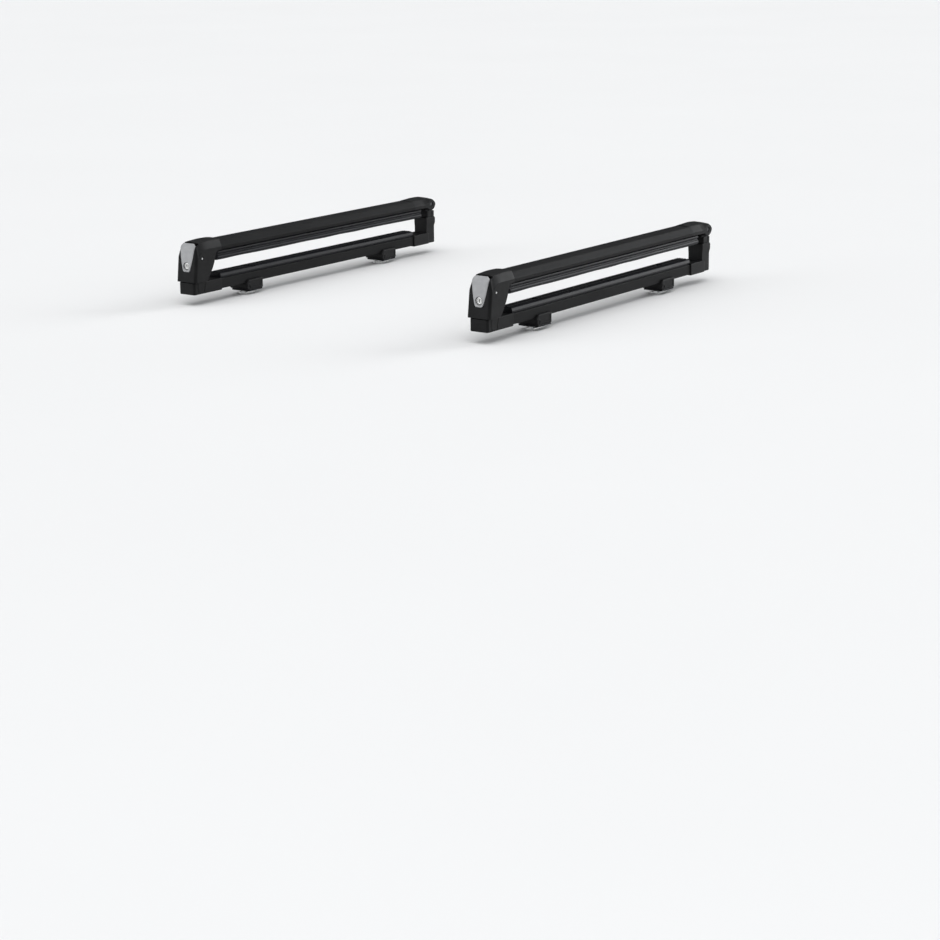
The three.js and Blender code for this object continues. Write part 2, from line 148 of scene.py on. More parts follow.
def anticlockwise(outline):
    area = sum(outline[i - 1].cross(p) for i, p in enumerate(outline))
    return outline if area > 0 else outline[::-1]


def inset(outline, distance):
    """An anticlockwise outline moved inwards, point by point."""
    moved = []
    for i, here in enumerate(outline):
        before = (here - outline[i - 1]).normalized()
        after = (outline[(i + 1) % len(outline)] - here).normalized()
        inwards = Vector((-before.y - after.y, before.x + after.x))
        moved.append(here + inwards * distance / (1 + before.dot(after)))
    return moved


def through(knots, t):
    """The value at t of a smooth line through knots (t, value) that never overshoots them."""
    if not knots[0][0] < t < knots[-1][0]:
        return knots[0][1] if t <= knots[0][0] else knots[-1][1]
    slopes = [(b[1] - a[1]) / (b[0] - a[0]) for a, b in zip(knots, knots[1:])]
    inner = [2 * p * q / (p + q) if p * q > 0 else 0 for p, q in zip(slopes, slopes[1:])]
    tangents = [slopes[0], *inner, slopes[-1]]
    i = max(k for k, knot in enumerate(knots[:-1]) if knot[0] <= t)
    width = knots[i + 1][0] - knots[i][0]
    u = (t - knots[i][0]) / width
    return (
        knots[i][1] * (2 * u**3 - 3 * u**2 + 1)
        + tangents[i] * width * (u**3 - 2 * u**2 + u)
        + knots[i + 1][1] * (3 * u**2 - 2 * u**3)
        + tangents[i + 1] * width * (u**3 - u**2)
    )


def solid(points, faces):
    """A closed mesh with its faces pointing out, as an object in millimetres."""
    mesh = bpy.data.meshes.new("solid")
    mesh.from_pydata([tuple(p) for p in points], [], faces)
    work = bmesh.new()
    work.from_mesh(mesh)
    bmesh.ops.recalc_face_normals(work, faces=work.faces)
    work.to_mesh(mesh)
    work.free()
    made = bpy.data.objects.new("solid", mesh)
    bpy.context.scene.collection.objects.link(made)
    return made


def loft(rings):
    """A closed solid through rings of equally many points, with a flat face at each end."""
    count = len(rings[0])
    points = [point for ring in rings for point in ring]
    faces = [list(range(count)), list(range(len(points) - count, len(points)))]
    for start in range(0, len(points) - count, count):
        for i in range(count):
            j = (i + 1) % count
            faces.append([start + i, start + j, start + count + j, start + count + i])
    return solid(points, faces)


def slab(axis, outline, low, high, edge=0.8, steps=3):
    """An outline swept along an axis, with the edges of both ends rounded."""
    outline = anticlockwise(outline)
    quarter = evenly(0, math.pi / 2, steps) if edge else [math.pi / 2]
    ends = [(edge * (1 - math.cos(t)), inset(outline, edge * (1 - math.sin(t)))) for t in quarter]
    rings = [[at(axis, *p, low + depth) for p in ring] for depth, ring in ends]
    rings += [[at(axis, *p, high - depth) for p in ring] for depth, ring in reversed(ends)]
    return loft(rings)


def block(x0, x1, y0, y1, z0, z1, radius=None, edge=0):
    return slab("z", rectangle(x0, x1, y0, y1, radius), z0, z1, edge)


def turned(axis, a, b, profile, sides=32):
    """A solid of revolution about an axis through (a, b); profile lists (radius, along)."""
    return loft([[at(axis, *p, along) for p in circle(a, b, r, sides)] for r, along in profile])


def pin(axis, a, b, radius, low, high, edge=0.5, sides=32):
    return slab(axis, circle(a, b, radius, sides), low, high, edge)


def coil(axis, a, b, low, high, radius, wire, turns, per_turn=22, sides=8):
    """A helical wire spring between low and high, the wire's ends cut flat.

    radius is that of the helix, and wire that of the wire.
    """
    rings = []
    pitch = (high - low - 2 * wire) / turns
    for step in range(turns * per_turn + 1):
        angle = 2 * math.pi * step / per_turn
        along = low + wire + pitch * step / per_turn
        out = Vector((math.cos(angle), math.sin(angle)))
        ring = [(radius + wire * math.cos(t), wire * math.sin(t))
                for t in (2 * math.pi * i / sides for i in range(sides))]
        rings.append([at(axis, a + out.x * r, b + out.y * r, along + rise) for r, rise in ring])
    return loft(rings)


def with_modifiers(made):
    """The object with its modifiers applied."""
    graph = bpy.context.evaluated_depsgraph_get()
    mesh = bpy.data.meshes.new_from_object(made.evaluated_get(graph))
    made.modifiers.clear()
    made.data = mesh
    return made


def combined(operation, base, others):
    for other in others:
        boolean = base.modifiers.new(operation, "BOOLEAN")
        boolean.operation = operation
        boolean.solver = "MANIFOLD"
        boolean.object = other
        with_modifiers(base)
        bpy.data.objects.remove(other)
    return base


def joined(base, *others):
    return combined("UNION", base, others)


def cut(base, *others):
    return combined("DIFFERENCE", base, others)


def softened(made, width, angle=38, segments=2):
    """The object with its sharp edges rounded."""
    bevel = made.modifiers.new("edges", "BEVEL")
    bevel.width = width
    bevel.segments = segments
    bevel.limit_method = "ANGLE"
    bevel.angle_limit = math.radians(angle)
    bevel.miter_outer = "MITER_ARC"
    return with_modifiers(made)


# ---- profiles ----

def upper_profile():
    low, high = span("upper_profile")
    slot = 10.0
    turn = WALL * math.tan(math.pi / 8)
    outer = [(slot, low.z, 0.4), (high.x - 1.9, low.z, 0.5), (high.x, low.z + 2, 0.8),
             (high.x, SHOULDER, 2), (TOP_HALF_WIDTH, high.z, 3)]
    inner = [(slot, low.z + WALL, 0.4), (high.x - WALL, low.z + WALL, 0.6),
             (high.x - WALL, SHOULDER - turn, 1), (TOP_HALF_WIDTH - turn, high.z - WALL, 1)]
    right = outer + [(-x, z, r) for x, z, r in reversed(outer)]
    left = [(-x, z, r) for x, z, r in inner] + inner[::-1]
    return slab("y", rounded(right + left), low.y, high.y, edge=0.3, steps=2)


def lower_profile():
    low, high = span("lower_profile")
    slot, lip = 8.0, 2.0
    outer = [(slot, high.z, 0.4), (high.x, high.z, 1.2), (high.x, low.z, 1.2)]
    inner = [(slot, high.z - lip, 0.4), (high.x - WALL, high.z - lip, 0.6),
             (high.x - WALL, low.z + WALL, 0.6)]
    outline = outer + [(-x, z, r) for x, z, r in reversed(outer)]
    outline += [(-x, z, r) for x, z, r in inner] + inner[::-1]
    made = slab("y", rounded(outline), low.y, high.y, edge=0.3, steps=2)
    for place in PLACES:
        screw_y = middle(f"foot_{place}").y
        long_hole = rectangle(-3.6, 3.6, screw_y - 23, screw_y + 23, 3.5)
        made = cut(made, slab("z", long_hole, low.z - 1, low.z + WALL + 1, 0))
    return made


# ---- rubbers ----

def closed_spline(points, steps=5):
    """A smooth closed outline through points."""
    count = len(points)
    outline = []
    for i in range(count):
        p0, p1, p2, p3 = (Vector(points[(i + k) % count]) for k in (-1, 0, 1, 2))
        for step in range(steps):
            u = step / steps
            outline.append(0.5 * (
                2 * p1 + (p2 - p0) * u + (2 * p0 - 5 * p1 + 4 * p2 - p3) * u**2
                + (3 * p1 - p0 - 3 * p2 + p3) * u**3))
    return outline


def upper_rubber():
    """A soft bulb with two lobes on each flank and domed ends, hung from a T-shaped head."""
    low, high = span("upper_rubber")
    profile_low, profile_high = span("upper_profile")
    seat = profile_low.z - GAP
    section = closed_spline(both_sides([
        (0, low.z), (10, low.z), (16.6, low.z + 0.3), (20, low.z + 2.2), (high.x, low.z + 5),
        (high.x - 0.8, low.z + 7.6), (high.x - 3.2, low.z + 10.2), (high.x - 3, low.z + 12),
        (high.x - 0.6, low.z + 14.4), (high.x - 1.2, low.z + 17), (high.x - 3.4, seat - 0.9),
        (14, seat - 0.1), (8, seat - 0.1), (0, seat - 0.1)]))
    centre = Vector((0, (low.z + seat) / 2 + 1))
    dome = 11.0
    sag = 0.45
    length = high.y - low.y
    near_end = [dome * (1 - math.cos(t)) for t in evenly(0, math.pi / 2, 8)[1:]]
    between = evenly(dome, length - dome, 90)[1:-1]
    stations = near_end + between + [length - s for s in reversed(near_end)]
    rings = []
    for s in stations:
        # the ends are domed, and a slight waviness along the strip grows towards its bottom
        from_end = min(s, length - s, dome)
        size = math.sqrt(max(0.0, 1 - (1 - from_end / dome) ** 2)) ** 0.8
        ring = []
        for p in section:
            slack = ((seat - p.y) / (seat - low.z)) ** 2
            wave = math.sin(s / 23 + 1.3 * math.sin(s / 61)) * slack
            place = centre + (p - centre) * size
            ring.append((place.x * (1 - 0.02 * wave), low.y + s, place.y - sag * wave))
        rings.append(ring)
    neck, head = 9.7, 13.0
    tee = both_sides([(neck, seat - 2), (neck, seat + 2.6), (head, seat + 2.6), (head, seat + 5.4)])
    return joined(loft(rings), slab("y", rounded(tee), profile_low.y + 1, profile_high.y - 1, 0.3))


def lower_rubber():
    """A lower, ribbed strip, with a hole over each clamp screw for the key."""
    low, high = span("lower_rubber")
    seat = span("lower_profile")[1].z + GAP
    groove = 1.1
    ribs = [(x, z, 0.5) for x, z in (
        (11.2, high.z - 0.4), (9.4, high.z - 0.1 - groove), (7.6, high.z - 0.1), (4.4, high.z),
        (2.6, high.z - groove))]
    half = [
        (11.3, low.z), (11.3, low.z + 2.6), (7.7, low.z + 2.6), (7.7, seat), (high.x - 0.9, seat, 1.2),
        (high.x, seat + 4, 2), (high.x - 1.6, high.z - 2.4, 1.5), *ribs,
        (0.9, high.z, 0.4)]
    made = slab("y", rounded(both_sides(half), 3), low.y, high.y, edge=0.5)
    funnel = [(6, low.z - 1), (6, high.z - 2), (7.2, high.z - 0.4), (8.4, high.z + 1)]
    for place in PLACES:
        made = cut(made, turned("z", 0, middle(f"foot_{place}").y, funnel))
    return made


# ---- latch end ----

def face_y(z):
    low, high = span("latch_housing")
    return (z - low.z) * FACE_LEAN / (high.z - low.z)


def button_outline(grow=0.0, open_top=0.0):
    """The front outline of the button: wide at the top, narrowing to a round foot."""
    low, high = span("latch_button")
    return rounded(both_sides([
        (9 + grow, low.z - grow, 4.5), (17 + grow, high.z - 16, 12),
        (18 + grow, high.z - 7 + open_top, 2), (13.5 + grow, high.z + open_top, 1.5)]))


def hood_ring(half, bottom, top, shoulder, flat, soft, crown=1.0, edge=1.0):
    """A section across the end caps of the upper arm: upright sides, slanting edges, domed top.

    half and flat are half the width at the sides and at the top, soft and edge are the radii at the
    shoulder and at the bottom, and crown is how high the top is domed.
    """
    return rounded(both_sides([
        (half, bottom, edge), (half, shoulder, soft), (flat, top - crown, 2.5),
        (flat * 0.55, top - crown * 0.3), (0, top)]), steps=6)


def shrunk_end(ring, seam):
    """A ring moved to the seam and drawn in a little, which rounds the edge there."""
    scale = 0.985
    return [(scale * x, seam, SHOULDER + scale * (z - SHOULDER)) for x, _, z in ring]


def latch_housing():
    """The near end casing: a leg and a hood in one shell, with a window in its face for the button.

    Its room holds the hook, its throat takes in the upper rubber's end, and a wall across the hood
    backs the button's spring.
    """
    low, high = span("latch_housing")
    seam = span("upper_profile")[0].y - GAP
    corner = 6.0
    wall = 2.5
    crown = [(0, 118), (1.5, 120.4), (5, 122.5), (12, 123.8), (25, 124.8), (55, 126), (seam, 125.5)]
    belly = [(33, low.z), (36.5, low.z + 1.2), (41, low.z + 7.5), (55.4, 78.5), (58, 86), (60.3, 94),
             (64, 99.6), (69, 102.2), (seam, 102.8)]
    crease = [(8, 96), (16, 103.5), (26, 108.8), (34, SHOULDER)]
    softness = [(8, 16), (18, 9), (30, 2)]
    room_end = 66
    room_floor = [(33, low.z - 9), (33.6, low.z - 1), (55, 82), (room_end, 103)]

    def ring(t, inwards=0.0, bottom=None):
        nose = corner - math.sqrt(corner**2 - (corner - min(t, corner)) ** 2)
        half = high.x - nose - inwards
        outline = hood_ring(
            half, through(belly, t) + 0.25 * nose if bottom is None else bottom,
            through(crown, t) - 1.3 * inwards, through(crease, t) - 0.4 * inwards,
            TOP_HALF_WIDTH + 1.5 - nose - 0.6 * inwards, through(softness, t))
        return [(p.x, t + face_y(p.y) * (1 - t / seam), p.y) for p in outline]

    front = [corner * (1 - math.cos(t)) for t in evenly(0, math.pi / 2, 7)]
    back = evenly(corner, seam, 34)[1:-1]
    shell = loft([ring(t) for t in [*front, *back, seam - 0.5]] + [shrunk_end(ring(seam), seam)])
    room = loft([ring(t, wall, through(room_floor, t)) for t in evenly(wall, room_end, 40)])
    throat = block(-high.x + wall, high.x - wall, 56, seam + 9, 82.2, 103.2)
    spring_wall = block(-14, 14, 42, 44.5, 103.5, 123)
    window = slab("y", button_outline(0.9, 9), -6, 21, 0)
    return softened(cut(joined(cut(shell, room, throat), spring_wall), window, *latch_pin_seats()), 0.35)


def latch_pin_seats():
    """The hole of the latch pin through both sides of the housing, with a wider seat at each end."""
    low, high = span("latch_pin")
    _, y, z = middle("latch_pin")
    side = span("latch_housing")[1].x
    through_hole = pin("x", y, z, LATCH_BORE, low.x - 2, high.x + 2, 0)
    seats = left_and_right(
        lambda inner, outer: pin("x", y, z, 3.6, inner, outer, 0), side - 0.8, side + 1)
    return [through_hole, *seats]


def latch_button():
    """A leaning plate with a bent-back finger edge, a barrel round the lock and two pivot ears."""
    low, high = span("latch_button")
    lock_z = middle("lock_cylinder").z
    _, pivot_y, pivot_z = middle("latch_pin")
    bend = high.z - 9.5
    width = [(low.z, 5.2), (low.z + 0.5, 6.6), (low.z + 1.6, 8.1), (low.z + 4, 9.4),
             (high.z - 16, 17.2), (high.z - 7, 17.9), (high.z - 5, 17.5), (high.z - 1.4, 14.6),
             (high.z - 0.5, 13.8), (high.z, 13)]
    heights = [low.z, low.z + 0.3, low.z + 0.8, low.z + 1.6, low.z + 2.8]
    heights += evenly(low.z + 4, bend - 0.7, 18) + [bend]
    heights += evenly(bend + 0.7, high.z - 1.4, 6)
    heights += [high.z - 0.9, high.z - 0.4, high.z - 0.1]
    rings = []
    for z in heights:
        half = through(width, z)
        over = max(0.0, z - bend)
        tip = max(0.0, z - high.z + 1.4)
        foot = max(0.0, low.z + 1.6 - z)
        front = face_y(z) - 0.75 + 0.36 * over + 0.6 * tip**2 + 0.25 * foot**2
        back = face_y(z) + 4 + 0.1 * over - 0.5 * tip**2
        bevel = 0.17 * half
        outline = both_sides([
            (half - bevel, front, 1.2), (half, front + 0.7, 0.8), (half, back, 0.5)])
        rings.append([(p.x, p.y, z) for p in rounded(outline, 4)])
    barrel_end = span("lock_cylinder")[1].y - 0.2
    barrel = pin("y", 0, lock_z, 9, face_y(lock_z) + 2, barrel_end, 0.5)
    ear = rounded([(face_y(84) + 2, 84), (pivot_y + 5, pivot_z - 5, 4.9),
                   (pivot_y + 5, pivot_z + 5, 4.9), (face_y(104) + 2, 104)])
    ears = left_and_right(lambda inner, outer: slab("x", ear, inner, outer, 0.4), 8.3, 11.3)
    sink = [(8.6, -3), (8.6, 3.4), (8, 4), (7.9, 10), (6.8, 10.2), (6.8, 40)]
    made = cut(joined(loft(rings), barrel, *ears), turned("y", 0, lock_z, sink),
               pin("x", pivot_y, pivot_z, LATCH_BORE, -30, 30, 0))
    return softened(made, 0.3)


def lock_cylinder():
    """A plug in a sleeve, sunk below the button's face, with a round-ended keyway."""
    low, high = span("lock_cylinder")
    z = middle("lock_cylinder").z
    radius = high.x
    face = low.y + 2.6
    plug = [(0.2, face + 0.35), (3.9, face + 0.3), (4.4, face + 0.1)]
    groove = [(4.5, face + 0.9), (5, face + 0.9), (5.2, face)]
    sleeve = [(radius - 0.6, face), (radius - 0.15, face + 0.2), (radius, face + 0.6),
              (radius, high.y - 0.4), (radius - 0.4, high.y)]
    keyway = slab("y", rectangle(-1, 1, z - 3.3, z + 3.3, 0.9), face - 1, face + 5, 0)
    return cut(turned("y", 0, z, plug + groove + sleeve, 48), keyway)


def profile_channel(start, end):
    """The room for the lower profile inside the sleeves of both lower end caps."""
    low, high = span("lower_profile")
    side = high.x + GAP
    return block(-side, side, start, end, low.z - GAP, high.z + GAP)


def latch_post():
    """The lower arm's near end cap: a nose with a chamber for the hook, and a sleeve on the profile."""
    low, high = span("latch_post")
    profile_low = span("lower_profile")[0]
    plan = rounded([(high.x, high.y, 1), (-high.x, high.y, 1), (-high.x, low.y, 5),
                    (high.x, low.y, 5)], 6)
    chamber = block(-12, 12, low.y + 3, profile_low.y - 2, low.z + 3.5, high.z + 1, 2)
    _, bar_y, bar_z = middle("striker_bar")
    bar_end = span("striker_bar")[1].x + GAP
    bore = pin("x", bar_y, bar_z, 3 + GAP, low.x - 1, bar_end, 0)
    channel = profile_channel(profile_low.y - GAP, high.y + 1)
    made = cut(slab("z", plan, low.z, high.z, 1.6, 4), channel, chamber, bore)
    nose_line = [(12, high.z + 1), (12, low.z + 9), (17, low.z - 1), (19, low.z - 1),
                 (14, low.z + 9), (14, high.z + 1)]
    sleeve_line = [(low.y + 33, high.z + 1), (low.y + 27.5, low.z - 1), (low.y + 29, low.z - 1),
                   (low.y + 34.5, high.z + 1)]
    for line in (nose_line, sleeve_line):
        made = cut(made, *left_and_right(
            lambda inner, outer: slab("x", rounded(line), inner, outer, 0),
            high.x - 0.8, high.x + 2))
    return softened(made, 0.3)


# ---- hinge end ----

def hinge_cap():
    """The far end cap: a domed hood that turns into two round cheeks beside the lift link's head."""
    side = span("hinge_cap")[1].x - 0.5
    seam = span("upper_profile")[1].y + GAP
    underside = span("upper_profile")[0].z
    _, y, z = middle("hinge_pin")
    reach, rise, drop = 14.3, 13.4, 13.8      # of the round nose beyond, above and below the pin
    crown = [(seam, 123.2), (seam + 11, 125.2), (seam + 27, 126.4), (y - 20, 126.3),
             (y - 8, 124.7), (y, z + rise)]
    belly = [(seam, underside), (y - 17, underside), (y - 11, 99.9), (y - 6, 97), (y, z - drop)]
    dome = [(seam, 1.5), (seam + 11, 3.2), (seam + 27, 4.6), (y - 12, 4.3), (y, 2.4),
            (y + reach, 1)]
    slant_width = [(seam, 9), (y - 24, 8.8), (y - 8, 6.8), (y, 4.6), (y + reach, 2.8)]
    slant_height = [(seam, 123.2 - SHOULDER), (y - 26, 126.4 - SHOULDER), (y - 17, 14.2), (y - 6, 8),
                    (y, 5.2), (y + reach, 3)]

    def ring(t, top, bottom):
        scale = min(1.0, (top - bottom) / 12)
        outline = hood_ring(
            side, bottom, top, top - through(slant_height, t) * scale,
            side - through(slant_width, t) * scale, soft=2.2 * scale,
            crown=through(dome, t) * scale, edge=1.8 * scale)
        return [(p.x, t, p.y) for p in outline]

    rings = [shrunk_end(ring(seam, through(crown, seam), through(belly, seam)), seam)]
    rings += [ring(t, through(crown, t), through(belly, t)) for t in evenly(seam + 0.5, y, 34)]
    for degrees in evenly(0, 80, 14)[1:]:
        angle = math.radians(degrees)
        up, down = rise * math.cos(angle), drop * math.cos(angle)
        rings.append(ring(y + reach * math.sin(angle), z + up, z - down))
    slot_half, head, ceiling = 13.8, 12.8, 12.2      # of the slot for the lift link's head
    end = y + reach + 2
    slot = slab("x", rounded([(y - head, z - 22), (end, z - 22), (end, z + 10.5),
                              (y + 7, z + ceiling, 3), (y - head, z + ceiling, 4)]),
                -slot_half, slot_half, 0)
    hollow = block(-15, 15, seam + 6, y - head - 4, 90, 116, 2)
    bore = pin("x", y, z, HINGE_BORE, -30, 30, 0)
    recesses = left_and_right(
        lambda inner, outer: pin("x", y, z, 5, inner, outer, 0), side - 1.6, side + 1)
    return softened(cut(loft(rings), slot, hollow, bore, *recesses), 0.35)


def hinge_tower():
    """The lower arm's far end: a sleeve on the profile and a flared column that guides the lift link."""
    low, high = span("hinge_tower")
    y = middle("lift_screw").y
    sleeve_top = span("latch_post")[1].z
    column = y - 16
    sleeve = slab("z", rounded([(-high.x, low.y, 1), (high.x, low.y, 1), (high.x, column + 6, 3),
                                (-high.x, column + 6, 3)]), low.z, sleeve_top, 1.4, 4)
    rings = []
    flare = [(low.z, 0), (58, 0), (61, 0.5), (66, 2.6), (69, 3)]
    flare_out = 3.0
    rim = {low.z: 1.2, low.z + 0.4: 0.4, high.z - 0.4: 0.4, high.z: 1.2}
    heights = [low.z, low.z + 0.4, low.z + 1.2, *range(26, 78, 2), high.z - 1.2, high.z - 0.4,
               high.z]
    for height in heights:
        shrink = rim.get(height, 0)
        out = through(flare, height)
        half = 16.2 + 0.26 * out - shrink
        chamfer = height - high.z + 3
        far = high.y - flare_out + out - max(shrink, chamfer)
        rings.append([(*p, height) for p in rounded([
            (-half, column + shrink, 1.5), (half, column + shrink, 1.5), (half, far, 3),
            (-half, far, 3)])])
    channel = profile_channel(low.y - 1, span("lower_profile")[1].y + GAP)
    shaft = block(-LINK_HALF_X - GAP, LINK_HALF_X + GAP, y - LINK_HALF_Y - GAP,
                  y + LINK_HALF_Y + GAP, low.z + 5.5, high.z + 1, 1)
    screw_hole = pin("z", 0, y, LIFT_BORE, low.z - 1, low.z + 9, 0)
    grooves = [block(x - 0.8, x + 0.8, high.y - 3.9, high.y, low.z + 6, 57)
               for x in (-9, -3, 3, 9)]
    return softened(cut(joined(sleeve, loft(rings)), channel, shaft, screw_hole, *grooves), 0.3)


def lift_link():
    """A hollow post that slides in the tower, a collar that rests on the tower, and a round head."""
    low, high = span("lift_link")
    _, y, z = middle("hinge_pin")
    post_y = middle("lift_screw").y
    seat = span("hinge_tower")[1].z + 0.4
    collar_top = z - 16.3
    head_half = 13.4
    post = block(-LINK_HALF_X, LINK_HALF_X, post_y - LINK_HALF_Y, post_y + LINK_HALF_Y, low.z,
                 seat + 2, 1.6, 0.6)
    collar = block(low.x, high.x, high.y - 25.8, high.y, seat, collar_top, 2, 0.9)
    neck = block(-head_half, head_half, y - 8, y + 8, collar_top - 2, z, 1)
    head = pin("x", y, z, 11.6, -head_half, head_half, 1, 48)
    holes = [pin("x", y, z, HINGE_BORE, -20, 20, 0),
             pin("z", 0, post_y, 6.4, SPRING_FLOOR, 90, 0),
             pin("z", 0, post_y, LIFT_BORE, low.z - 1, SPRING_FLOOR + 2, 0)]
    grooves = left_and_right(
        lambda inner, outer: block(inner, outer, high.y - 9.6, high.y - 8.2, seat - 1,
                                   collar_top + 1),
        high.x - 1.2, high.x + 1)
    return softened(cut(joined(post, collar, neck, head), *holes, *grooves), 0.3)


# ---- feet ----

def foot_block(place):
    """A saddle under the lower profile, with a round boss across its near end."""
    low, high = span(f"foot_{place}")
    profile_low, profile_high = span("lower_profile")
    side = profile_high.x + GAP
    boss_y, boss_z = low.y + 7, low.z + 6.5
    body = slab("x", rounded([
        (low.y + 7, low.z, 2), (high.y, low.z, 2), (high.y, high.z, 3), (low.y + 7, high.z, 3),
        (low.y + 0.5, high.z - 8, 3), (low.y + 0.5, low.z + 6, 3)]), low.x + 1.2, high.x - 1.2, 1.8, 4)
    boss = pin("x", boss_y, boss_z, 6.5, low.x, high.x, 1.2, 40)
    dish = left_and_right(
        lambda inner, outer: pin("x", boss_y, boss_z, 3.6, inner, outer, 0, 40),
        high.x - 0.9, high.x + 1)
    panel = rectangle(low.y + 18, high.y - 5, low.z + 4, high.z - 4, 2.5)
    panels = left_and_right(
        lambda inner, outer: slab("x", panel, inner, outer, 0), high.x - 1.9, high.x + 1)
    saddle = block(-side, side, low.y - 2, high.y + 1, profile_low.z - GAP, high.z + 1)
    hole = pin("z", 0, (low.y + high.y) / 2, CLAMP_BORE, low.z - 1, high.z, 0)
    return softened(cut(joined(body, boss), saddle, hole, *dish, *panels), 0.4)


def foot_pad(place):
    """A ribbed rubber sole."""
    low, high = span(f"foot_pad_{place}")
    y = middle(f"foot_{place}").y
    made = block(low.x, high.x, low.y, high.y, low.z, high.z, 3, 0.7)
    grooves = [block(low.x - 1, high.x + 1, y + step - 0.8, y + step + 0.8, low.z - 1, low.z + 0.8)
               for step in (-18, -13, -8, 8, 13, 18, 23)]
    return cut(made, pin("z", 0, y, CLAMP_BORE, low.z - 1, high.z + 1, 0), *grooves)


def threaded(radius, low, high, pitch=1.0):
    """The profile of a screw's thread, as rings (radius, along)."""
    depth = 0.28
    turns = int((high - low) / pitch)
    steps = [(radius - (depth if i % 2 else 0), low + i * pitch / 2) for i in range(2 * turns)]
    return [(radius - 0.6, low - 0.4), *steps]


def clamp_screw(place):
    low, high = span(f"clamp_screw_{place}")
    y = middle(f"clamp_screw_{place}").y
    seat = high.z - 6
    radius = high.x
    profile = [*threaded(3, low.z + 0.4, seat - 6), (3, seat - 5.5), (3, seat - 0.3), (3.5, seat),
               (radius - 0.3, seat), (radius, seat + 0.3), (radius, high.z - 0.7),
               (radius - 0.7, high.z)]
    hexagon = circle(0, y, 2.9, 6)
    return cut(turned("z", 0, y, profile), slab("z", hexagon, high.z - 3.2, high.z + 1, 0))


def lift_screw():
    low, high = span("lift_screw")
    y = middle("lift_screw").y
    radius = high.x
    head = high.z - 4
    profile = [*threaded(2.5, low.z + 0.4, SPRING_FLOOR - 1), (2.5, SPRING_FLOOR - 0.5),
               (2.5, head - 0.2), (2.8, head), (radius - 0.3, head), (radius, head + 0.3),
               (radius, high.z - 1), (radius - 1, high.z)]
    cross = [block(-a, a, y - b, y + b, high.z - 1.6, high.z + 1) for a, b in ((0.6, 3), (3, 0.6))]
    return cut(turned("z", 0, y, profile), *cross)


def crosswise_pin(node, edge=0.5, sunk=0.0):
    """A pin across the arm, its ends sunk below those of the CAD node."""
    low, high = span(node)
    _, y, z = middle(node)
    return pin("x", y, z, (high.z - low.z) / 2, low.x + sunk, high.x - sunk, edge, 40)


def t_nut(place):
    """A plate under the lips of the bar's slot, with a neck between them."""
    low, high = span(f"t_nut_{place}")
    y = middle(f"t_nut_{place}").y
    plate = block(low.x, high.x, low.y, high.y, low.z, low.z + 4, 1.5, 0.5)
    neck = block(-5, 5, y - 10, y + 10, low.z + 2, high.z, 1, 0.3)
    return cut(joined(plate, neck), pin("z", 0, y, CLAMP_BORE, low.z - 1, high.z + 1, 0))


# ---- materials ----

